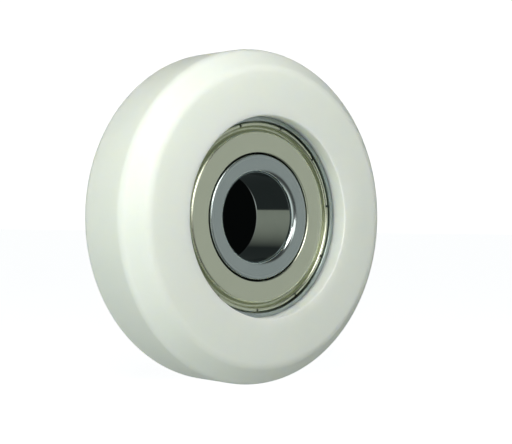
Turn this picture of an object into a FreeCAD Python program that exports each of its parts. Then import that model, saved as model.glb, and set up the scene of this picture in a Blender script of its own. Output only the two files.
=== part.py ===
import FreeCAD, Part

import math
import operator
import os

import Sketcher
from FreeCAD import Placement, Rotation, Vector

# Cam follower roller: a moulded tyre on a shielded deep-groove ball bearing.
# Millimetres. The wheel turns about the Y axis and its origin is the middle of the bore.
# The front face looks towards -Y, and +Z is up.

# ------------------------------------------------------------------ driving sizes

SIZES = [
    # bearing envelope
    ("bore_diameter", 17.0, "bore of the inner ring"),
    ("outer_diameter", 40.0, "outside of the outer ring"),
    ("ring_width", 12.0, "width of both rings"),
    # balls and their grooves
    ("ball_diameter", 6.747, "ball"),
    ("ball_count", 8, "balls, and rivets in the cage"),
    ("race_clearance", 0.03, "gap between a ball and the bottom of each groove"),
    ("inner_groove_allowance", 0.10, "inner groove's radius beyond the ball's"),
    ("outer_groove_allowance", 0.17, "outer groove's radius beyond the ball's"),
    ("inner_groove_depth", 1.15, "inner land above the groove's bottom"),
    ("outer_groove_depth", 1.25, "outer land above the groove's bottom"),
    # ring edges
    ("bore_corner", 1.2, "rounding of the bore's two mouths"),
    ("ring_corner", 0.6, "rounding of the outer ring's outside corners"),
    ("land_corner", 0.4, "rounding between the inner ring's face and its land"),
    ("mouth_bevel", 0.1, "bevel at the outer ring's shield mouth"),
    # the seat that each shield is pressed into
    ("mouth_wall", 1.65, "outer ring's wall around the shield mouth"),
    ("mouth_depth", 1.2, "straight part of the mouth, from the ring's face"),
    ("lip_groove", 0.25, "undercut behind the mouth that holds the shield's lip"),
    ("ledge_depth", 1.6, "ledge that the lip rests on, from the ring's face"),
    ("ledge_reach", 0.95, "ledge's width"),
    ("ledge_step", 0.35, "drop from the ledge to the outer land's side"),
    # shields
    ("shield_sheet", 0.3, "thickness of the shield's sheet"),
    ("shield_gap", 0.3, "gap between the shield and the inner ring's land"),
    ("shield_depth", 0.05, "shield's flat below the ring's face"),
    ("shield_flange", 0.4, "straight part of the flange at the shield's bore"),
    ("shield_bend", 0.4, "inside radius at the flat's outer edge"),
    ("channel_depth", 0.9, "centre of the channel's bend, from the ring's face"),
    ("channel_bend", 0.35, "inside radius of the channel"),
    ("curl_depth", 0.25, "top of the curl, from the ring's face"),
    ("curl_bend", 0.15, "inside radius of the curl"),
    ("curl_gap", 0.12, "gap between the curl and the mouth's wall"),
    ("lip_clearance", 0.05, "gap between the lip's edge and the undercut"),
    ("slot_count", 11, "slots through each shield's curl"),
    ("slot_width", 0.45, "slot"),
    ("front_slot_phase", 7.5, "first front slot above the X axis, degrees"),
    ("back_slot_phase", 20.0, "first back slot above the X axis, degrees"),
    # cage
    ("cage_sheet", 0.6, "thickness of the cage's sheet"),
    ("cage_band", 2.7, "width of the cage's band"),
    ("pocket_clearance", 0.12, "gap between a ball and its pocket"),
    ("rivet_stem", 1.0, "rivet's stem"),
    ("rivet_head", 1.9, "rivet's head"),
    ("rivet_crown", 0.45, "height of the rivet's head"),
    # tyre
    ("tyre_diameter", 64.0, "tread"),
    ("tyre_width", 18.6, "width over the tyre's two sides"),
    ("bevel_drop", 3.7, "bevel's size across the side"),
    ("bevel_width", 3.55, "bevel's size across the tread"),
    ("bevel_round", 2.5, "rounding of the bevel's two edges"),
    ("lip_cover", 0.2, "how far the tyre's lip reaches over the flat of the ring's face"),
    ("lip_round", 0.2, "rounding of the recess's edge"),
]

FRONT = -1
BACK = 1
SIDE_NAMES = {FRONT: "front", BACK: "back"}
SMALLEST = 1e-4
LEAST_SLOT_SHARE = 0.8  # the volume of rolled sheet is only known roughly

doc = FreeCAD.newDocument("cam_follower")


# ------------------------------------------------------------------ sizes and formulas

OPERATIONS = {"+": operator.add, "-": operator.sub, "*": operator.mul, "/": operator.truediv}


class Size:
    """A number with the formula over the sheet that it comes from."""

    def __init__(self, value, formula):
        self.value = value
        self.formula = formula

    def __add__(self, other):
        return combined(self, "+", other)

    def __sub__(self, other):
        return combined(self, "-", other)

    def __mul__(self, other):
        return combined(self, "*", other)

    def __rmul__(self, other):
        return combined(other, "*", self)

    def __truediv__(self, other):
        return combined(self, "/", other)

    def __neg__(self):
        return combined(-1, "*", self)


def as_size(thing):
    """A plain number as a size, and a size as itself."""
    if isinstance(thing, Size):
        return thing
    return Size(thing, "%s" % thing)


def combined(left, sign, right):
    """The size that two sizes or numbers give when they are added, multiplied and so on."""
    left, right = as_size(left), as_size(right)
    value = OPERATIONS[sign](left.value, right.value)
    return Size(value, "(%s %s %s)" % (left.formula, sign, right.formula))


def root(size):
    return Size(math.sqrt(size.value), "sqrt(%s)" % size.formula)


def cosine(angle):
    return Size(math.cos(math.radians(angle.value)), "cos(%s)" % angle.formula)


def sine(angle):
    return Size(math.sin(math.radians(angle.value)), "sin(%s)" % angle.formula)


def make_sheet():
    """The sheet of driving sizes, and each size by name."""
    sheet = doc.addObject("Spreadsheet::Sheet", "Sizes")
    by_name = {}
    for row, (name, value, meaning) in enumerate(SIZES, start=1):
        sheet.set("A%d" % row, meaning)
        sheet.set("B%d" % row, "%s" % value)
        sheet.setAlias("B%d" % row, name)
        by_name[name] = Size(value, "Sizes." + name)
    doc.recompute()
    return by_name


def bind(thing, prop, size):
    """Ties a property to the sheet."""
    thing.setExpression(prop, size.formula)


size = make_sheet()

half_width = size["ring_width"] / 2
bore_radius = size["bore_diameter"] / 2
ring_radius = size["outer_diameter"] / 2
ball_radius = size["ball_diameter"] / 2
pitch_radius = (bore_radius + ring_radius) / 2
ball_count = int(size["ball_count"].value)

inner_groove_bottom = pitch_radius - ball_radius - size["race_clearance"]
outer_groove_bottom = pitch_radius + ball_radius + size["race_clearance"]
inner_land = inner_groove_bottom + size["inner_groove_depth"]
outer_land = outer_groove_bottom - size["outer_groove_depth"]
ring_face_edge = ring_radius - size["ring_corner"]
mouth_radius = ring_radius - size["mouth_wall"]


# ------------------------------------------------------------------ outlines

class Corner:
    """A corner of an outline. across is its distance from the outline's upright axis, along is
    its place on that axis, and about is the centre of the arc that arrives at it, if one does."""

    def __init__(self, across, along, about=None):
        self.across = as_size(across)
        self.along = as_size(along)
        self.about = about

    def point(self):
        return Vector(self.across.value, self.along.value, 0)


def behind_mid_plane(corner, about):
    """The corner's mirror image behind the wheel's mid plane."""
    image = about and Corner(about.across, -about.along)
    return Corner(corner.across, -corner.along, image)


def symmetric(front, middle_arc=None):
    """A whole outline from its front half. middle_arc is the centre of the arc that joins the
    front half's last corner to its image, where that edge is an arc."""
    back = [behind_mid_plane(front[-1], middle_arc)]
    for corner, next_corner in zip(front[-2::-1], front[:0:-1]):
        back.append(behind_mid_plane(corner, next_corner.about))
    return front + back


def turns_left(start, end, centre):
    """Whether the shorter arc about a centre runs anticlockwise from start to end."""
    return (start - centre).cross(end - centre).z > 0


def arc_between(start, end, centre):
    """The shorter arc about a centre, drawn anticlockwise."""
    halfway = (start - centre) + (end - centre)
    halfway.normalize()
    middle = centre + halfway * (start - centre).Length
    if turns_left(start, end, centre):
        return Part.Arc(start, middle, end)
    return Part.Arc(end, middle, start)


def fix_distance(sketch, direction, edge, end, size):
    """Ties one coordinate of an edge's end (3 is an arc's centre) to the sheet."""
    constraint = Sketcher.Constraint("Distance" + direction, -1, 1, edge, end, size.value)
    number = sketch.addConstraint(constraint)
    sketch.setExpression("Constraints[%d]" % number, size.formula)


def draw_outline(sketch, corners):
    """Draws a closed outline in a sketch, every corner and arc of it tied to the sheet."""
    ends = []
    for before, corner in zip([corners[-1]] + corners[:-1], corners):
        start, end = before.point(), corner.point()
        if corner.about is None:
            sketch.addGeometry(Part.LineSegment(start, end), False)
            ends.append((1, 2))
            continue
        centre = corner.about.point()
        sketch.addGeometry(arc_between(start, end, centre), False)
        ends.append((1, 2) if turns_left(start, end, centre) else (2, 1))
    for edge, corner in enumerate(corners):
        arrival = ends[edge][1]
        next_edge = (edge + 1) % len(corners)
        departure = ends[next_edge][0]
        sketch.addConstraint(Sketcher.Constraint("Coincident", edge, arrival, next_edge, departure))
        fix_distance(sketch, "X", edge, arrival, corner.across)
        fix_distance(sketch, "Y", edge, arrival, corner.along)
        if corner.about is not None:
            chord = corner.point() - corners[edge - 1].point()
            if abs(chord.y) > abs(chord.x):
                fix_distance(sketch, "X", edge, 3, corner.about.across)
            else:
                fix_distance(sketch, "Y", edge, 3, corner.about.along)


def new_sketch(body, name, plane):
    """An empty sketch on one of the body's own origin planes."""
    sketch = body.newObject("Sketcher::SketchObject", name)
    origin_plane = [part for part in body.Origin.OriginFeatures if part.Role == plane]
    sketch.AttachmentSupport = [(origin_plane[0], "")]
    sketch.MapMode = "FlatFace"
    return sketch


def turned_body(name, corners):
    """A body turned about its Y axis from an outline."""
    body = doc.addObject("PartDesign::Body", name)
    body.Label = name
    sketch = new_sketch(body, name + "_outline", "XY_Plane")
    draw_outline(sketch, corners)
    turning = body.newObject("PartDesign::Revolution", name + "_turning")
    turning.Profile = sketch
    turning.ReferenceAxis = (sketch, ["V_Axis"])
    turning.Angle = 360
    body.Tip = turning
    doc.recompute()
    return body


def round_edges(body, name, corners, radius):
    """Rounds the turned edges that run through the given corners."""
    base = body.Tip
    picked = []
    for number, edge in enumerate(base.Shape.Edges, start=1):
        if not isinstance(edge.Curve, Part.Circle):
            continue
        for corner in corners:
            off_radius = abs(edge.Curve.Radius - corner.across.value)
            off_place = abs(edge.Curve.Center.y - corner.along.value)
            if off_radius < SMALLEST and off_place < SMALLEST:
                picked.append("Edge%d" % number)
    if len(picked) != len(corners):
        raise RuntimeError("%s: %d edges found of %d" % (name, len(picked), len(corners)))
    rounding = body.newObject("PartDesign::Fillet", name)
    rounding.Base = (base, picked)
    bind(rounding, "Radius", radius)
    body.Tip = rounding
    doc.recompute()


# ------------------------------------------------------------------ bearing rings

def groove_half_width(groove_radius, groove_bottom_offset):
    """Half a groove's width where its centre is the given distance from the land."""
    return root(groove_radius * groove_radius - groove_bottom_offset * groove_bottom_offset)


def inner_ring():
    """Ground ring with the shaft's bore inside and the balls' groove outside."""
    groove_radius = ball_radius + size["inner_groove_allowance"]
    groove_centre = Corner(inner_groove_bottom + groove_radius, 0)
    groove_half = groove_half_width(groove_radius, groove_centre.across - inner_land)
    mouth = Corner(bore_radius, -half_width)
    shoulder = Corner(inner_land, -half_width)
    front = [mouth, shoulder, Corner(inner_land, -groove_half)]
    body = turned_body("inner_ring", symmetric(front, groove_centre))
    mouths = [mouth, behind_mid_plane(mouth, None)]
    round_edges(body, "inner_ring_bore_corners", mouths, size["bore_corner"])
    shoulders = [shoulder, behind_mid_plane(shoulder, None)]
    round_edges(body, "inner_ring_land_corners", shoulders, size["land_corner"])
    return body


def outer_ring():
    """Ground ring with the balls' groove inside and a stepped shield seat at each end."""
    groove_radius = ball_radius + size["outer_groove_allowance"]
    groove_centre = Corner(outer_groove_bottom - groove_radius, 0)
    groove_half = groove_half_width(groove_radius, outer_land - groove_centre.across)
    lip_groove_radius = mouth_radius + size["lip_groove"]
    ledge_inner = lip_groove_radius - size["ledge_reach"]
    mouth_end = size["mouth_depth"] - half_width
    ledge = size["ledge_depth"] - half_width
    land_side = ledge + size["ledge_step"]
    front = [
        Corner(ring_radius, size["ring_corner"] - half_width),
        Corner(ring_face_edge, -half_width, outer_corner_centre()),
        Corner(mouth_radius + size["mouth_bevel"], -half_width),
        Corner(mouth_radius, size["mouth_bevel"] - half_width),
        Corner(mouth_radius, mouth_end),
        Corner(lip_groove_radius, mouth_end),
        Corner(lip_groove_radius, ledge),
        Corner(ledge_inner, ledge),
        Corner(ledge_inner, land_side),
        Corner(outer_land, land_side),
        Corner(outer_land, -groove_half),
    ]
    return turned_body("outer_ring", symmetric(front, groove_centre))


def outer_corner_centre():
    """Centre of the rounding on the outer ring's front outside corner."""
    return Corner(ring_face_edge, size["ring_corner"] - half_width)


# ------------------------------------------------------------------ shields

def shield(side):
    """Pressed sheet shield: a flange at the bore, a flat, a channel, and a curl whose lip is
    crimped into the outer ring. Slots through the curl let the lip spread."""
    name = SIDE_NAMES[side] + "_shield"
    sheet = size["shield_sheet"]
    outside_bend = size["shield_bend"] + sheet
    channel_bend = size["channel_bend"]
    channel_outside = channel_bend + sheet
    curl_bend = size["curl_bend"]
    curl_outside = curl_bend + sheet

    flange = inner_land + size["shield_gap"]
    curl_wall = mouth_radius - size["curl_gap"]
    curl_centre = curl_wall - curl_outside
    channel_centre = curl_centre - curl_outside - channel_bend
    flat_edge = channel_centre - channel_bend - outside_bend
    lip_edge = mouth_radius + size["lip_groove"] - size["lip_clearance"]

    flat = size["shield_depth"]
    flange_end = flat + sheet + size["shield_flange"]
    curl_level = size["curl_depth"] + curl_outside
    lip_under = size["ledge_depth"]

    def place(across, depth, about=None):
        """A corner at a depth below the ring's face."""
        along = side * (half_width - depth)
        return Corner(across, along, about)

    flange_bend = place(flange + sheet, flat + sheet)
    flat_bend = place(flat_edge, flat + outside_bend)
    channel = place(channel_centre, size["channel_depth"])
    curl = place(curl_centre, curl_level)
    corners = [
        # the side that shows, from the bore outwards
        place(flange, flange_end),
        place(flange, flat + sheet),
        place(flange + sheet, flat, flange_bend),
        place(flat_edge, flat),
        place(flat_edge + outside_bend, flat + outside_bend, flat_bend),
        place(channel_centre - channel_bend, size["channel_depth"]),
        place(channel_centre, size["channel_depth"] + channel_bend, channel),
        place(channel_centre + channel_bend, size["channel_depth"], channel),
        place(curl_centre - curl_outside, curl_level),
        place(curl_centre, size["curl_depth"], curl),
        place(curl_wall, curl_level, curl),
        place(curl_wall, lip_under - sheet),
        place(lip_edge, lip_under - sheet),
        # the hidden side, back to the bore
        place(lip_edge, lip_under),
        place(curl_wall - sheet, lip_under),
        place(curl_wall - sheet, curl_level),
        place(curl_centre, curl_level - curl_bend, curl),
        place(curl_centre - curl_bend, curl_level, curl),
        place(channel_centre + channel_outside, size["channel_depth"]),
        place(channel_centre, size["channel_depth"] + channel_outside, channel),
        place(channel_centre - channel_outside, size["channel_depth"], channel),
        place(flat_edge + size["shield_bend"], flat + outside_bend),
        place(flat_edge, flat + sheet, flat_bend),
        place(flange + sheet, flat + sheet),
        place(flange + sheet, flange_end),
    ]
    body = turned_body(name, corners)
    cut_slots(body, name, curl_centre - curl_outside + sheet / 2, ring_radius)
    phase = size[SIDE_NAMES[side] + "_slot_phase"]
    body.Placement = Placement(Vector(), Rotation(Vector(0, -1, 0), phase.value))
    return body


def cut_slots(body, name, slot_start, slot_end):
    """Cuts one radial slot through the curl and repeats it around the shield."""
    half_slot = size["slot_width"] / 2
    whole = body.Tip.Shape.Volume
    sketch = new_sketch(body, name + "_slot_outline", "XZ_Plane")
    draw_outline(sketch, [
        Corner(slot_start, -half_slot),
        Corner(slot_end, -half_slot),
        Corner(slot_end, half_slot),
        Corner(slot_start, half_slot),
    ])
    slot = body.newObject("PartDesign::Pocket", name + "_slot")
    slot.Profile = sketch
    slot.Type = "ThroughAll"
    slot.Midplane = True
    body.Tip = slot
    doc.recompute()
    one_cut = whole - slot.Shape.Volume
    pattern = body.newObject("PartDesign::PolarPattern", name + "_slots")
    pattern.Originals = [slot]
    pattern.Axis = (sketch, ["N_Axis"])
    pattern.Angle = 360
    bind(pattern, "Occurrences", size["slot_count"])
    body.Tip = pattern
    doc.recompute()
    all_cut = whole - pattern.Shape.Volume
    least_cut = LEAST_SLOT_SHARE * size["slot_count"].value * one_cut
    if one_cut < SMALLEST or all_cut < least_cut:
        raise RuntimeError("%s: the slots were not cut" % name)


# ------------------------------------------------------------------ balls, cage and rivets

def around_pitch(thing, angle):
    """Puts a thing on the balls' pitch circle."""
    bind(thing, "Placement.Base.x", pitch_radius * cosine(angle))
    bind(thing, "Placement.Base.z", pitch_radius * sine(angle))


def ball_angle(index):
    return 360 * as_size(index) / size["ball_count"]


def rivet_angle(index):
    """The rivets sit half way between the balls."""
    return 360 * (as_size(index) + 0.5) / size["ball_count"]


def sphere(label, radius, angle):
    ball = doc.addObject("Part::Sphere", label)
    ball.Label = label
    bind(ball, "Radius", radius)
    around_pitch(ball, angle)
    return ball


def cylinder_towards(label, radius, side, length):
    """A cylinder from the wheel's mid plane towards one side."""
    rod = doc.addObject("Part::Cylinder", label)
    rod.Label = label
    bind(rod, "Radius", radius)
    bind(rod, "Height", length)
    rod.Placement = Placement(Vector(), Rotation(Vector(-1, 0, 0), 90 * side))
    return rod


def tube_towards(label, side, length):
    """The cage band's width as a tube from the mid plane towards one side."""
    outside = cylinder_towards(label + "_outside", pitch_radius + size["cage_band"] / 2, side, length)
    inside = cylinder_towards(label + "_inside", pitch_radius - size["cage_band"] / 2, side, length)
    return cut(label, outside, inside)


def cut(label, base, tool):
    result = doc.addObject("Part::Cut", label)
    result.Label = label
    result.Base = base
    result.Tool = tool
    return result


def fused(label, shapes):
    result = doc.addObject("Part::MultiFuse", label)
    result.Label = label
    result.Shapes = shapes
    return result


def common(label, shapes):
    result = doc.addObject("Part::MultiCommon", label)
    result.Label = label
    result.Shapes = shapes
    return result


def cage_half(side):
    """Half of the ribbon cage: a flat band pressed into a dome over each ball, with a rivet
    hole between domes. The two halves meet on the wheel's mid plane."""
    label = "cage_" + SIDE_NAMES[side]
    pocket_radius = ball_radius + size["pocket_clearance"]
    dome_radius = pocket_radius + size["cage_sheet"]
    domes, pockets, holes = [], [], []
    for index in range(ball_count):
        number = index + 1
        domes.append(sphere("%s_dome_%d" % (label, number), dome_radius, ball_angle(index)))
        pockets.append(sphere("%s_pocket_%d" % (label, number), pocket_radius, ball_angle(index)))
        hole = cylinder_towards("%s_hole_%d" % (label, number), size["rivet_stem"] / 2, side,
                                size["cage_sheet"])
        around_pitch(hole, rivet_angle(index))
        holes.append(hole)
    flat = cylinder_towards(label + "_flat", ring_radius, side, size["cage_sheet"])
    band = tube_towards(label + "_band", side, dome_radius)
    blank = common(label + "_blank", [band, fused(label + "_sheet", [flat] + domes)])
    return cut(label, blank, fused(label + "_openings", pockets + holes))


def rivet(index):
    """Headed rivet through both halves of the cage, its two crowns parts of a sphere."""
    name = "cage_rivet_%d" % (index + 1)
    head = size["rivet_head"] / 2
    stem = size["rivet_stem"] / 2
    crown = size["rivet_crown"]
    under_head = size["cage_sheet"]
    crown_radius = (head * head + crown * crown) / (2 * crown)
    crown_centre = Corner(0, crown_radius - crown - under_head)
    front = [
        Corner(0, -(under_head + crown)),
        Corner(head, -under_head, crown_centre),
        Corner(stem, -under_head),
    ]
    body = turned_body(name, symmetric(front))
    around_pitch(body, rivet_angle(index))
    return body


# ------------------------------------------------------------------ tyre

def tyre():
    """Plastic tyre moulded around the outer ring: it holds the ring's rounded corners and laps
    its faces, stands proud of them with flat sides, and has a bevel beside a flat tread."""
    tread_radius = size["tyre_diameter"] / 2
    side_place = -(size["tyre_width"] / 2)
    seat_end = Corner(ring_radius, size["ring_corner"] - half_width)
    recess_floor = Corner(ring_face_edge, -half_width, outer_corner_centre())
    lip = ring_face_edge - size["lip_cover"]
    recess_foot = Corner(lip, -half_width)
    recess_edge = Corner(lip, side_place)
    side_edge = Corner(tread_radius - size["bevel_drop"], side_place)
    tread_edge = Corner(tread_radius, side_place + size["bevel_width"])
    front = [seat_end, recess_floor, recess_foot, recess_edge, side_edge, tread_edge]
    body = turned_body("tyre", symmetric(front))
    soft_edges = [side_edge, tread_edge]
    soft_edges += [behind_mid_plane(edge, None) for edge in soft_edges]
    round_edges(body, "tyre_bevel_edges", soft_edges, size["bevel_round"])
    recess_edges = [recess_edge, behind_mid_plane(recess_edge, None)]
    round_edges(body, "tyre_recess_edges", recess_edges, size["lip_round"])
    return body


# ------------------------------------------------------------------ the assembly

pieces = [tyre(), outer_ring(), inner_ring(), shield(FRONT), shield(BACK)]
pieces += [cage_half(FRONT), cage_half(BACK)]
for index in range(ball_count):
    pieces.append(sphere("ball_%d" % (index + 1), ball_radius, ball_angle(index)))
    pieces.append(rivet(index))

doc.recompute()

for thing in doc.Objects:
    if "Invalid" in thing.State or "Error" in thing.State:
        raise RuntimeError("%s did not recompute: %s" % (thing.Label, thing.State))
for piece in pieces:
    if piece.Shape.isNull() or not piece.Shape.isValid():
        raise RuntimeError("%s has no valid shape" % piece.Label)
    if len(piece.Shape.Solids) != 1:
        raise RuntimeError("%s is %d solids" % (piece.Label, len(piece.Shape.Solids)))

os.makedirs("parts", exist_ok=True)
for piece in pieces:
    piece.Shape.exportStep("parts/%s.step" % piece.Label)
    print("%-16s %10.3f mm3" % (piece.Label, piece.Shape.Volume))
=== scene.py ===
import math

import bmesh
import bpy
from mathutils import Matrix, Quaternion, Vector


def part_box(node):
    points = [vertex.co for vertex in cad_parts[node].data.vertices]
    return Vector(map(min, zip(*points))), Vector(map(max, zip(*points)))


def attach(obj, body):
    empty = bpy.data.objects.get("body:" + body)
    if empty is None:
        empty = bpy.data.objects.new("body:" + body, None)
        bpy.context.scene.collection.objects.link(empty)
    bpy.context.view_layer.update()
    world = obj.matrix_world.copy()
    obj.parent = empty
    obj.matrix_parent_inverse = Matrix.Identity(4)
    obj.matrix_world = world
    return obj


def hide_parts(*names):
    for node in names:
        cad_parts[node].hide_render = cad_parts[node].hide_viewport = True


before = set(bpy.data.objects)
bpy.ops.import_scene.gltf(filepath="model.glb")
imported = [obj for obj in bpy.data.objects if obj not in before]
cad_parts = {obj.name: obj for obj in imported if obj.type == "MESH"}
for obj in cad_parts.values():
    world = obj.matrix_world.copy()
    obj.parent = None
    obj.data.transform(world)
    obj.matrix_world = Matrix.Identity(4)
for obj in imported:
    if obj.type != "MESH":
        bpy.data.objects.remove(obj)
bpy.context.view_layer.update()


# ---------------------------------------------------------------------------- balls
# Eight bearing balls of hardened chrome steel, ground and lapped until they shine like
# mirrors. They stay as the frame has them and only take their finish here.

def linear(code):
    """An sRGB hex colour as the linear red, green, blue and alpha that a shader works in."""
    shares = [int(code[place:place + 2], 16) / 255 for place in (1, 3, 5)]
    dark = [share / 12.92 for share in shares]
    light = [((share + 0.055) / 1.055) ** 2.4 for share in shares]
    mixed = [low if share <= 0.04045 else high for share, low, high in zip(shares, dark, light)]
    return (*mixed, 1.0)


def add_node(tree, kind, inputs=None, **settings):
    """Adds a shader node. An input is a plain value, or the socket that feeds it."""
    made = tree.nodes.new("ShaderNode" + kind)
    for name, value in settings.items():
        setattr(made, name, value)
    for name, value in (inputs or {}).items():
        if isinstance(value, bpy.types.NodeSocket):
            tree.links.new(value, made.inputs[name])
        else:
            made.inputs[name].default_value = value
    return made


def new_material(name):
    """An empty material with its node tree, shader and texture coordinates."""
    material = bpy.data.materials.new(name)
    material.use_nodes = True
    tree = material.node_tree
    tree.nodes.clear()
    shader = add_node(tree, "BsdfPrincipled")
    add_node(tree, "OutputMaterial", {"Surface": shader.outputs["BSDF"]})
    place = add_node(tree, "TexCoord").outputs["Object"]
    return material, tree, shader, place


def grain(place, size, detail):
    """What a noise needs for features of a size in millimetres, at the place that it is read."""
    return {"Vector": place, "Scale": 1000 / size, "Detail": detail}


def give_finish(thing, material):
    """Puts one material on a whole piece."""
    thing.data.materials.clear()
    thing.data.materials.append(material)


# Lapped chrome steel: almost a mirror, with a faint haze that comes and goes.
lapped_steel, tree, shader, place = new_material("lapped_chrome_steel")
shader.inputs["Base Color"].default_value = linear("#d2d3d4")
shader.inputs["Metallic"].default_value = 1.0
ball_haze = add_node(tree, "TexNoise", grain(place, 1.11, 2.0))
haze_range = {"Value": ball_haze.outputs["Fac"], "To Min": 0.06, "To Max": 0.12}
haze = add_node(tree, "MapRange", haze_range)
tree.links.new(haze.outputs["Result"], shader.inputs["Roughness"])

balls = [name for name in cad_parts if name.startswith("ball_")]
for name in balls:
    give_finish(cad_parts[name], lapped_steel)


# ---------------------------------------------------------------------------- cage
# Two halves of a ribbon cage, pressed from bright low-carbon steel strip, which the rivets
# hold together around the balls. They stay as the frame has them.

# Pressed strip: a soft satin grey, a little uneven in tone and in shine.
pressed_strip, tree, shader, place = new_material("pressed_steel_strip")
shader.inputs["Metallic"].default_value = 1.0
strip_grain = add_node(tree, "TexNoise", grain(place, 0.667, 4.0))
strip_colour = add_node(tree, "ValToRGB", {"Fac": strip_grain.outputs["Fac"]})
strip_colour.color_ramp.elements[0].color = linear("#9c9b98")
strip_colour.color_ramp.elements[1].color = linear("#bbbab6")
tree.links.new(strip_colour.outputs["Color"], shader.inputs["Base Color"])
strip_range = {"Value": strip_grain.outputs["Fac"], "To Min": 0.3, "To Max": 0.48}
strip_roughness = add_node(tree, "MapRange", strip_range)
tree.links.new(strip_roughness.outputs["Result"], shader.inputs["Roughness"])

for name in ("cage_front", "cage_back"):
    give_finish(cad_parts[name], pressed_strip)


# ---------------------------------------------------------------------------- cage rivets
# Eight small rivets of annealed steel wire, cold headed through both halves of the cage
# between each two balls. They stay as the frame has them.

# Headed wire: bright crowns, with fine scuffs that dull them in places.
headed_wire, tree, shader, place = new_material("headed_steel_wire")
shader.inputs["Metallic"].default_value = 1.0
shader.inputs["Base Color"].default_value = linear("#b6b5b2")
scuffs = add_node(tree, "TexNoise", grain(place, 0.385, 5.0))
scuff_range = {"Value": scuffs.outputs["Fac"], "To Min": 0.2, "To Max": 0.42}
scuff_roughness = add_node(tree, "MapRange", scuff_range)
tree.links.new(scuff_roughness.outputs["Result"], shader.inputs["Roughness"])

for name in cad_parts:
    if name.startswith("cage_rivet_"):
        give_finish(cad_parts[name], headed_wire)


# ---------------------------------------------------------------------------- inner ring
# A ring of hardened bearing steel, turned, then ground on its faces and honed in its bore.
# The shaft goes through it, and the balls run in the groove around its outside.

MM = 0.001
# How many straight pieces make a full turn, and how far beyond each rounding, in millimetres,
# an extra point keeps the flat's shading flat.
TURNS = 288
KEEP_FLAT = 0.0004
# An edge that turns by more than this, in degrees, is shaded as a sharp one.
SHARP_ANGLE = 35


def rounded(corners, steps=7):
    """The points of a closed outline. A corner is its radius, its place along the axle and the
    radius that it is rounded to, all in millimetres."""
    points = []
    count = len(corners)
    for number, (across, along, rounding) in enumerate(corners):
        corner = Vector((across, along))
        before = (Vector(corners[number - 1][:2]) - corner).normalized()
        after = (Vector(corners[(number + 1) % count][:2]) - corner).normalized()
        half_angle = before.angle(after) / 2
        if rounding == 0:
            points.append(corner)
            continue
        centre = corner + (before + after).normalized() * (rounding / math.sin(half_angle))
        start = corner + before * (rounding / math.tan(half_angle)) - centre
        end = corner + after * (rounding / math.tan(half_angle)) - centre
        sweep = start.angle_signed(end)
        points.append(centre + start + before * KEEP_FLAT)
        for step in range(steps + 1):
            turn = -sweep * step / steps
            across_turned = start.x * math.cos(turn) - start.y * math.sin(turn)
            along_turned = start.x * math.sin(turn) + start.y * math.cos(turn)
            points.append(centre + Vector((across_turned, along_turned)))
        points.append(centre + end + after * KEEP_FLAT)
    return points


def turned_piece(name, outline):
    """A closed ring turned from an outline about the wheel's axle."""
    mesh = bpy.data.meshes.new(name)
    work = bmesh.new()
    rings = []
    for turn in range(TURNS):
        angle = 2 * math.pi * turn / TURNS
        ring = [
            work.verts.new((p.x * math.cos(angle) * MM, p.y * MM, p.x * math.sin(angle) * MM))
            for p in outline
        ]
        rings.append(ring)
    for turn in range(TURNS):
        here, there = rings[turn], rings[(turn + 1) % TURNS]
        for spot in range(len(outline)):
            work.faces.new((here[spot - 1], here[spot], there[spot], there[spot - 1]))
    bmesh.ops.recalc_face_normals(work, faces=work.faces)
    work.to_mesh(mesh)
    work.free()
    finish_mesh(mesh)
    piece = bpy.data.objects.new(name, mesh)
    bpy.context.scene.collection.objects.link(piece)
    return piece


def finish_mesh(mesh):
    """Smooth shading that keeps the sharp edges."""
    mesh.polygons.foreach_set("use_smooth", [True] * len(mesh.polygons))
    mesh.set_sharp_from_angle(angle=math.radians(SHARP_ANGLE))


def mirrored(front):
    """The corners of a whole symmetric section, from those of its front half."""
    return front + [(across, -along, rounding) for across, along, rounding in reversed(front)]


def distance_from_axle(tree, place):
    """How far a point is from the wheel's axle."""
    across = add_node(tree, "VectorMath", {0: place, 1: (1, 0, 1)}, operation="MULTIPLY")
    return add_node(tree, "VectorMath", {0: across.outputs[0]}, operation="LENGTH").outputs["Value"]


def around_axle(tree, place, line_spacing):
    """A value that runs across the tool's lines on a turned or ground surface."""
    along = add_node(tree, "SeparateXYZ", {0: place}).outputs["Y"]
    both = add_node(tree, "Math", {0: distance_from_axle(tree, place), 1: along})
    return add_node(
        tree, "Math", {0: both.outputs[0], 1: 1 / (line_spacing * MM)}, operation="MULTIPLY"
    ).outputs[0]


inner_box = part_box("inner_ring")
ring_half = inner_box[1].y / MM
inner_land = inner_box[1].x / MM
bore = 8.5
bore_corner = 1.2
land_corner = 0.4
edge_break = 0.05
inner_groove_half = 2.58
inner_groove_floor = inner_land - 0.966
groove_round = 2.0

inner_front = [
    (bore, -ring_half, bore_corner),
    (inner_land, -ring_half, land_corner),
    (inner_land, -inner_groove_half, edge_break),
    (inner_groove_floor, -inner_groove_half / 2, groove_round),
]
inner_ring = turned_piece("bearing_inner_ring", rounded(mirrored(inner_front)))

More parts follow.
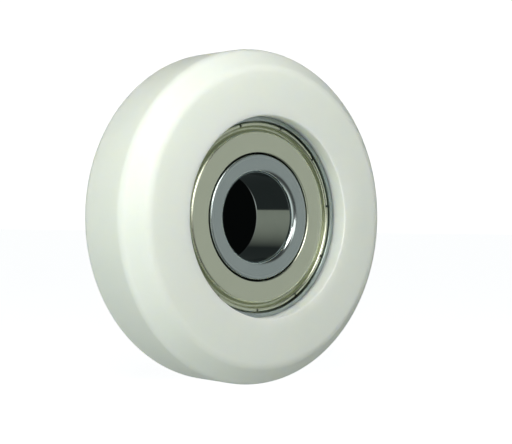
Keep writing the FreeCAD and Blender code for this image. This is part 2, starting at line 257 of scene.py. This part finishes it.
# Ground steel: a cool satin grey with hair-thin lines around the axle, drawn about ten times
# as far apart as real grinding marks. The honed bore is smoother and mirrors the room.
ground_steel, tree, shader, place = new_material("ground_bearing_steel")
shader.inputs["Metallic"].default_value = 1.0
shader.inputs["Anisotropic"].default_value = 0.15
lay = around_axle(tree, place, 0.22)
fine_lines = add_node(tree, "TexNoise", {"W": lay, "Scale": 1.0, "Detail": 3.0}, noise_dimensions="1D")
patches = add_node(tree, "TexNoise", grain(place, 4.17, 3.0))
steel_colour = add_node(tree, "ValToRGB", {"Fac": patches.outputs["Fac"]})
steel_colour.color_ramp.elements[0].color = linear("#a5afb0")
steel_colour.color_ramp.elements[1].color = linear("#b2bbbb")
tree.links.new(steel_colour.outputs["Color"], shader.inputs["Base Color"])
steel_range = {"Value": fine_lines.outputs["Fac"], "To Min": 0.2, "To Max": 0.3}
steel_roughness = add_node(tree, "MapRange", steel_range)
honed_skin = 0.02
honed_share = 0.35
out_from_bore = {
    "Value": distance_from_axle(tree, place),
    "From Min": (bore + honed_skin) * MM,
    "From Max": (bore + bore_corner) * MM,
    "To Min": honed_share,
}
honing = add_node(tree, "MapRange", out_from_bore)
honed = {0: steel_roughness.outputs["Result"], 1: honing.outputs["Result"]}
ring_roughness = add_node(tree, "Math", honed, operation="MULTIPLY")
tree.links.new(ring_roughness.outputs[0], shader.inputs["Roughness"])
lines = {"Height": fine_lines.outputs["Fac"], "Strength": 0.12, "Distance": 0.004 * MM}
line_relief = add_node(tree, "Bump", lines)
tree.links.new(line_relief.outputs["Normal"], shader.inputs["Normal"])
around = add_node(tree, "Tangent", direction_type="RADIAL", axis="Y")
tree.links.new(around.outputs["Tangent"], shader.inputs["Tangent"])

give_finish(inner_ring, ground_steel)
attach(inner_ring, "inner")
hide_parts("inner_ring")


# ---------------------------------------------------------------------------- outer ring
# A ring of the same hardened steel and grinding as the inner ring, with the balls' groove on
# its inside. Each end has a stepped mouth with an undercut for the shield's crimped lip.

outer_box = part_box("outer_ring")
outer_radius = outer_box[1].x / MM
outer_corner = 0.6
mouth = outer_radius - 1.65
mouth_bevel = 0.1
mouth_floor = 1.2 - ring_half
lip_undercut = mouth + 0.25
ledge = lip_undercut - 0.95
ledge_floor = 1.6 - ring_half
outer_land = 16.4
land_side = 1.95 - ring_half
outer_groove_half = 2.69
outer_groove_floor = 17.45
outer_groove_knee = 1.35

outer_front = [
    (outer_radius, -ring_half, outer_corner),
    (mouth, -ring_half, mouth_bevel),
    (mouth, mouth_floor, 0.0),
    (lip_undercut, mouth_floor, 0.0),
    (lip_undercut, ledge_floor, 0.0),
    (ledge, ledge_floor, edge_break),
    (ledge, land_side, 0.0),
    (outer_land, land_side, edge_break),
    (outer_land, -outer_groove_half, edge_break),
    (outer_groove_floor, -outer_groove_knee, groove_round),
]
outer_ring = turned_piece("bearing_outer_ring", rounded(mirrored(outer_front)))
give_finish(outer_ring, ground_steel)
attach(outer_ring, "roller")
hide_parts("outer_ring")


# ---------------------------------------------------------------------------- shields
# A washer of cold-rolled steel sheet on each side: flanged at the bore, flat, then drawn
# into a channel and a curl. Slots let the curl's lip spread when it is pressed in.
# Depths are below the ring's face.

sheet = 0.3
shield_bore = inner_land + 0.3
shield_flat = 0.05
shield_flange = shield_flat + sheet + 0.4
flat_bend = 0.7
curl_outside = mouth - 0.12
curl_inside = curl_outside - 0.9
channel_inside = curl_inside - 0.7
channel_floor = 1.25
channel_round = 0.349
curl_top = 0.25
curl_round = 0.449
lip_level = 1.3
lip_edge = lip_undercut - 0.05
slot_count = 11
slot_width = 0.45
slot_start = curl_inside + sheet / 2
cutter_length = 40
slot_phase = {"front_shield": 7.5, "back_shield": 20.0}


def shield_outline(side):
    """The sheet's section, first what shows, from the bore outwards, then what is hidden."""
    depths = [
        (shield_bore, shield_flange, 0.0),
        (shield_bore, shield_flat, sheet),
        (channel_inside, shield_flat, flat_bend),
        (channel_inside, channel_floor, channel_round),
        (curl_inside, channel_floor, channel_round),
        (curl_inside, curl_top, curl_round),
        (curl_outside, curl_top, curl_round),
        (curl_outside, lip_level, edge_break),
        (lip_edge, lip_level, edge_break),
        (lip_edge, lip_level + sheet, edge_break),
        (curl_outside - sheet, lip_level + sheet, 0.0),
        (curl_outside - sheet, curl_top + sheet, curl_round - sheet),
        (curl_inside + sheet, curl_top + sheet, curl_round - sheet),
        (curl_inside + sheet, channel_floor + sheet, channel_round + sheet),
        (channel_inside - sheet, channel_floor + sheet, channel_round + sheet),
        (channel_inside - sheet, shield_flat + sheet, flat_bend - sheet),
        (shield_bore + sheet, shield_flat + sheet, 0.0),
        (shield_bore + sheet, shield_flange, 0.0),
    ]
    section = [(across, side * (ring_half - depth), rounding) for across, depth, rounding in depths]
    return rounded(section)


def slot_cutter(name, phase):
    """One thin radial block for every slot, as a single cutting tool."""
    mesh = bpy.data.meshes.new(name)
    work = bmesh.new()
    block_size = Vector((outer_radius - slot_start, cutter_length, slot_width)) * MM
    middle = Vector(((slot_start + outer_radius) / 2, 0, 0)) * MM
    for slot in range(slot_count):
        angle = math.radians(phase) + 2 * math.pi * slot / slot_count
        block = bmesh.ops.create_cube(work, size=1.0)["verts"]
        bmesh.ops.scale(work, vec=block_size, verts=block)
        bmesh.ops.translate(work, vec=middle, verts=block)
        turn = Vector((math.cos(angle), 0, math.sin(angle)))
        for corner in block:
            out, up = corner.co.x, corner.co.z
            corner.co.x = out * turn.x - up * turn.z
            corner.co.z = out * turn.z + up * turn.x
    work.to_mesh(mesh)
    work.free()
    cutter = bpy.data.objects.new(name, mesh)
    bpy.context.scene.collection.objects.link(cutter)
    return cutter


def cut_away(piece, cutter):
    """Cuts one closed mesh out of another for good."""
    cutting = piece.modifiers.new("cut", "BOOLEAN")
    cutting.operation = "DIFFERENCE"
    cutting.solver = "EXACT"
    cutting.object = cutter
    bpy.context.view_layer.update()
    shape = piece.evaluated_get(bpy.context.evaluated_depsgraph_get())
    cut_mesh = bpy.data.meshes.new_from_object(shape)
    piece.modifiers.clear()
    piece.data = cut_mesh
    finish_mesh(cut_mesh)
    bpy.data.objects.remove(cutter)


# Cold-rolled sheet: a warmer, slightly olive satin than the rings, with cloudy patches and
# faint drag lines from the press tool, drawn several times as far apart as real ones.
rolled_sheet, tree, shader, place = new_material("cold_rolled_sheet")
shader.inputs["Metallic"].default_value = 1.0
shader.inputs["Anisotropic"].default_value = 0.12
sheet_grain = add_node(tree, "TexNoise", grain(place, 0.385, 2.0))
sheet_clouds = add_node(tree, "TexNoise", grain(place, 6.25, 3.0))
sheet_colour = add_node(tree, "ValToRGB", {"Fac": sheet_clouds.outputs["Fac"]})
sheet_colour.color_ramp.elements[0].color = linear("#cacfbb")
sheet_colour.color_ramp.elements[1].color = linear("#d2d6c3")
tree.links.new(sheet_colour.outputs["Color"], shader.inputs["Base Color"])
sheet_range = {"Value": sheet_grain.outputs["Fac"], "To Min": 0.22, "To Max": 0.27}
sheet_roughness = add_node(tree, "MapRange", sheet_range)
tree.links.new(sheet_roughness.outputs["Result"], shader.inputs["Roughness"])
drag = around_axle(tree, place, 0.35)
drag_lines = add_node(tree, "TexNoise", {"W": drag, "Scale": 1.0, "Detail": 2.0}, noise_dimensions="1D")
drag_height = {"Height": drag_lines.outputs["Fac"], "Strength": 0.1, "Distance": 0.004 * MM}
drag_relief = add_node(tree, "Bump", drag_height)
tree.links.new(drag_relief.outputs["Normal"], shader.inputs["Normal"])
around = add_node(tree, "Tangent", direction_type="RADIAL", axis="Y")
tree.links.new(around.outputs["Tangent"], shader.inputs["Tangent"])

for node_name, side in (("front_shield", -1), ("back_shield", 1)):
    shield = turned_piece("bearing_" + node_name, shield_outline(side))
    cut_away(shield, slot_cutter("slots", slot_phase[node_name]))
    give_finish(shield, rolled_sheet)
    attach(shield, "roller")
    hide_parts(node_name)


# ---------------------------------------------------------------------------- tyre
# A thick ring of white nylon, moulded round the bearing's outer ring so that it holds the
# ring's rounded corners and laps its faces. Its sides are bevelled towards a flat tread.

tyre_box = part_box("tyre")
tread_radius = tyre_box[1].x / MM
tyre_half = tyre_box[1].y / MM
lip_cover = 0.2
recess_radius = outer_radius - outer_corner - lip_cover
bevel_drop = 3.7
bevel_width = 3.55
bevel_round = 2.5
recess_round = 0.25

# The seat's rounding is a hair tighter than the ring's, so that the two skins stay apart.
seat_round = outer_corner - 0.001

tyre_front = [
    (outer_radius, -ring_half, seat_round),
    (recess_radius, -ring_half, 0.0),
    (recess_radius, -tyre_half, recess_round),
    (tread_radius - bevel_drop, -tyre_half, bevel_round),
    (tread_radius, bevel_width - tyre_half, bevel_round),
]
tyre = turned_piece("moulded_tyre", rounded(mirrored(tyre_front), steps=10))

# Moulded nylon: light soaks a few millimetres into it, so it looks milky and its edges look
# soft. The skin is satin, with the faint waviness that a thick moulding gets as it shrinks.
nylon, tree, shader, place = new_material("moulded_white_nylon")
shader.inputs["IOR"].default_value = 1.53
shader.inputs["Subsurface Weight"].default_value = 1.0
shader.inputs["Subsurface Radius"].default_value = (1.0, 0.95, 0.8)
shader.inputs["Subsurface Scale"].default_value = 4 * MM
mottle = add_node(tree, "TexNoise", grain(place, 14.3, 3.0))
nylon_colour = add_node(tree, "ValToRGB", {"Fac": mottle.outputs["Fac"]})
nylon_colour.color_ramp.elements[0].color = linear("#e1e7e0")
nylon_colour.color_ramp.elements[1].color = linear("#e8ede7")
tree.links.new(nylon_colour.outputs["Color"], shader.inputs["Base Color"])
skin = add_node(tree, "TexNoise", grain(place, 0.455, 3.0))
skin_range = {"Value": skin.outputs["Fac"], "To Min": 0.42, "To Max": 0.56}
skin_roughness = add_node(tree, "MapRange", skin_range)
tree.links.new(skin_roughness.outputs["Result"], shader.inputs["Roughness"])
waves = add_node(tree, "TexNoise", grain(place, 9.09, 2.0))
both_heights = {0: waves.outputs["Fac"], 1: 8.0, 2: skin.outputs["Fac"]}
height = add_node(tree, "Math", both_heights, operation="MULTIPLY_ADD")
skin_height = {"Height": height.outputs[0], "Strength": 0.25, "Distance": 0.006 * MM}
skin_relief = add_node(tree, "Bump", skin_height)
tree.links.new(skin_relief.outputs["Normal"], shader.inputs["Normal"])

give_finish(tyre, nylon)
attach(tyre, "roller")
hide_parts("tyre")


# ---------------------------------------------------------------------------- floor and backdrop
# The wheel stands on a white light table in a white tent. Only the camera sees these sheets, so
# the light section alone lights the wheel. A small black cloth, in line with the camera and the
# bore, makes the bore dark right through.


def staged(name, corners, material):
    """One flat sheet that isn't part of the wheel."""
    mesh = bpy.data.meshes.new(name)
    mesh.from_pydata(corners, [], [(0, 1, 2, 3)])
    mesh.materials.append(material)
    sheet_object = bpy.data.objects.new(name, mesh)
    bpy.context.scene.collection.objects.link(sheet_object)
    return sheet_object


def upright(name, centre, towards, width, height, material):
    """A flat sheet that stands upright and faces a direction."""
    side = Vector((-towards[1], towards[0], 0)).normalized() * width / 2
    up = Vector((0, 0, height / 2))
    middle = Vector(centre)
    corners = [middle - side - up, middle + side - up, middle + side + up, middle - side + up]
    return staged(name, corners, material)


def level_sheet(name, half, height, material):
    """A flat square sheet that lies level."""
    corners = [(-half, -half, height), (half, -half, height), (half, half, height), (-half, half, height)]
    return staged(name, corners, material)


# From the camera towards the wheel.
view_direction = Vector((0.6441, 0.7649, 0))
floor_level = tyre_box[0].z
# The tent's half width in metres. Its sides are wide enough to overlap at the corners.
reach = 4.0
tent_sides = 8
side_width = reach * 0.86

# Light table: an even white, a touch duller than the tent.
light_table, tree, shader, place = new_material("light_table_acrylic")
shader.inputs["Base Color"].default_value = linear("#9a9c9e")
shader.inputs["Roughness"].default_value = 0.9
shader.inputs["Specular IOR Level"].default_value = 0.0
shader.inputs["Emission Color"].default_value = linear("#fdfeff")
shader.inputs["Emission Strength"].default_value = 0.93
table = level_sheet("light_table", reach, floor_level, light_table)

# Backlit cloth: plain white, with no folds and no shading.
lit_cloth, tree, shader, place = new_material("backlit_white_cloth")
shader.inputs["Base Color"].default_value = linear("#000000")
shader.inputs["Specular IOR Level"].default_value = 0.0
shader.inputs["Emission Color"].default_value = linear("#ffffff")
shader.inputs["Emission Strength"].default_value = 1.1
backdrop = []
for number in range(tent_sides):
    turn = 2 * math.pi * number / tent_sides
    away = Vector((math.cos(turn), math.sin(turn), 0))
    side = upright("backdrop_%d" % number, away * reach, away, side_width, 2 * reach, lit_cloth)
    backdrop.append(side)
backdrop.append(level_sheet("backdrop_top", reach, reach, lit_cloth))
for sheet_object in [table] + backdrop:
    sheet_object.visible_diffuse = False
    sheet_object.visible_glossy = False
    sheet_object.visible_transmission = False
    sheet_object.visible_shadow = False

# Black cloth: matt, so that it sends no light back through the bore.
black_cloth, tree, shader, place = new_material("black_cloth")
shader.inputs["Base Color"].default_value = linear("#0a0d0d")
shader.inputs["Roughness"].default_value = 1.0
shader.inputs["Specular IOR Level"].default_value = 0.0
cloth_place = view_direction * 0.7 + Vector((-0.008, 0.007, 0))
cloth_width = 0.032
cloth_height = 0.063
upright("bore_cloth", cloth_place, view_direction, cloth_width, cloth_height, black_cloth)


# ---------------------------------------------------------------------------- light
# A soft lamp close by at the upper left and a wide one in front, in a room that is bright at the
# left and dark at its back. A dim window at the back left shows in the bore's wall.

room = bpy.data.worlds.new("studio_room")
room.use_nodes = True
tree = room.node_tree
tree.nodes.clear()
heading = add_node(tree, "TexCoord").outputs["Generated"]
parts = add_node(tree, "SeparateXYZ", {0: heading})

# The walls go from nearly black at the right to white at the left.
bright_side = (-0.87, 0.35, -0.35)
to_light = add_node(
    tree, "VectorMath", {0: heading, 1: bright_side}, operation="DOT_PRODUCT"
).outputs["Value"]
light_share = add_node(tree, "MapRange", {"Value": to_light, "From Min": -1.0, "From Max": 1.0})
walls = add_node(tree, "ValToRGB", {"Fac": light_share.outputs["Result"]})
walls.color_ramp.elements[0].color = linear("#101211")
walls.color_ramp.elements[1].color = linear("#fafffb")
tones = {0.05: "#262726", 0.25: "#494b49", 0.55: "#494b49", 0.72: "#868986", 0.88: "#f6fcf7"}
for share, tone in tones.items():
    walls.color_ramp.elements.new(share).color = linear(tone)

# A grey card at the right, towards the front, gives the flat steel its tone.
card_side = (0.9, -0.43, 0.0)
to_card = add_node(
    tree, "VectorMath", {0: heading, 1: card_side}, operation="DOT_PRODUCT"
).outputs["Value"]
in_card = add_node(tree, "MapRange", {"Value": to_card, "From Min": 0.5, "From Max": 0.75})
card = {0: in_card.outputs["Result"], 1: walls.outputs["Color"], 2: linear("#9ea29f")}
room_tone = add_node(tree, "MixRGB", card)

# The back is dark in a ring around the axle, which is what the bore's wall mirrors.
to_back = add_node(tree, "MapRange", {"Value": parts.outputs["Y"], "From Min": 0.4, "From Max": 0.62})
off_axle = add_node(tree, "MapRange", {"Value": parts.outputs["Y"], "From Min": 0.95, "From Max": 0.86})
back_share = {0: to_back.outputs["Result"], 1: off_axle.outputs["Result"]}
back = add_node(tree, "Math", back_share, operation="MULTIPLY")
dark_back = {0: back.outputs[0], 1: room_tone.outputs[0], 2: linear("#272b2a")}
room_tone = add_node(tree, "MixRGB", dark_back)

# The window's sill is the sharp line across the bore's wall.
window_side = (-0.644, 0.765, 0.0)
to_window = add_node(
    tree, "VectorMath", {0: heading, 1: window_side}, operation="DOT_PRODUCT"
).outputs["Value"]
in_window = add_node(tree, "MapRange", {"Value": to_window, "From Min": 0.6, "From Max": 1.0})
over_sill = add_node(tree, "MapRange", {"Value": parts.outputs["Z"], "From Min": -0.22, "From Max": -0.2})
window_share = add_node(
    tree, "Math", {0: in_window.outputs["Result"], 1: over_sill.outputs["Result"]}, operation="MULTIPLY"
)
window = {0: window_share.outputs[0], 1: room_tone.outputs[0], 2: linear("#8b8d80")}
room_tone = add_node(tree, "MixRGB", window)

glow = add_node(tree, "Background", {"Color": room_tone.outputs[0], "Strength": 1.4})
add_node(tree, "OutputWorld", {"Surface": glow.outputs[0]})
bpy.context.scene.world = room


def soft_lamp(name, place_at, width, height, energy):
    """An oblong lamp with a diffuser, which points at the wheel."""
    lamp_data = bpy.data.lights.new(name, "AREA")
    lamp_data.shape = "RECTANGLE"
    lamp_data.size = width
    lamp_data.size_y = height
    lamp_data.energy = energy
    lamp_data.color = (1.0, 0.985, 0.95)
    lamp = bpy.data.objects.new(name, lamp_data)
    lamp.location = place_at
    lamp.rotation_mode = "QUATERNION"
    lamp.rotation_quaternion = Vector(place_at).to_track_quat("Z", "Y")
    lamp.visible_camera = False
    bpy.context.scene.collection.objects.link(lamp)


soft_lamp("side_lamp", (-0.085, -0.1, 0.095), width=0.1, height=0.1, energy=0.175)
soft_lamp("front_lamp", (-0.09, -0.34, 0.07), width=0.28, height=0.11, energy=0.24)

# The standard view keeps the white tent white.
bpy.context.scene.view_settings.view_transform = "Standard"


# ---------------------------------------------------------------------------- camera
# It stands level with the bore and to the left of the axle, a quarter of a metre away, and is
# rolled by half a degree.

camera_data = bpy.data.cameras.new("camera")
camera_data.lens = 91.4
camera_data.sensor_width = 36.0
camera_data.clip_end = 20.0
camera = bpy.data.objects.new("camera", camera_data)
camera.location = Vector((-160.33, -195.19, -0.96)) * MM
camera.rotation_mode = "QUATERNION"
upright_view = view_direction.to_track_quat("-Z", "Y")
camera_roll = math.radians(-0.57)
camera.rotation_quaternion = Quaternion(view_direction, camera_roll) @ upright_view
bpy.context.scene.collection.objects.link(camera)
bpy.context.scene.camera = camera
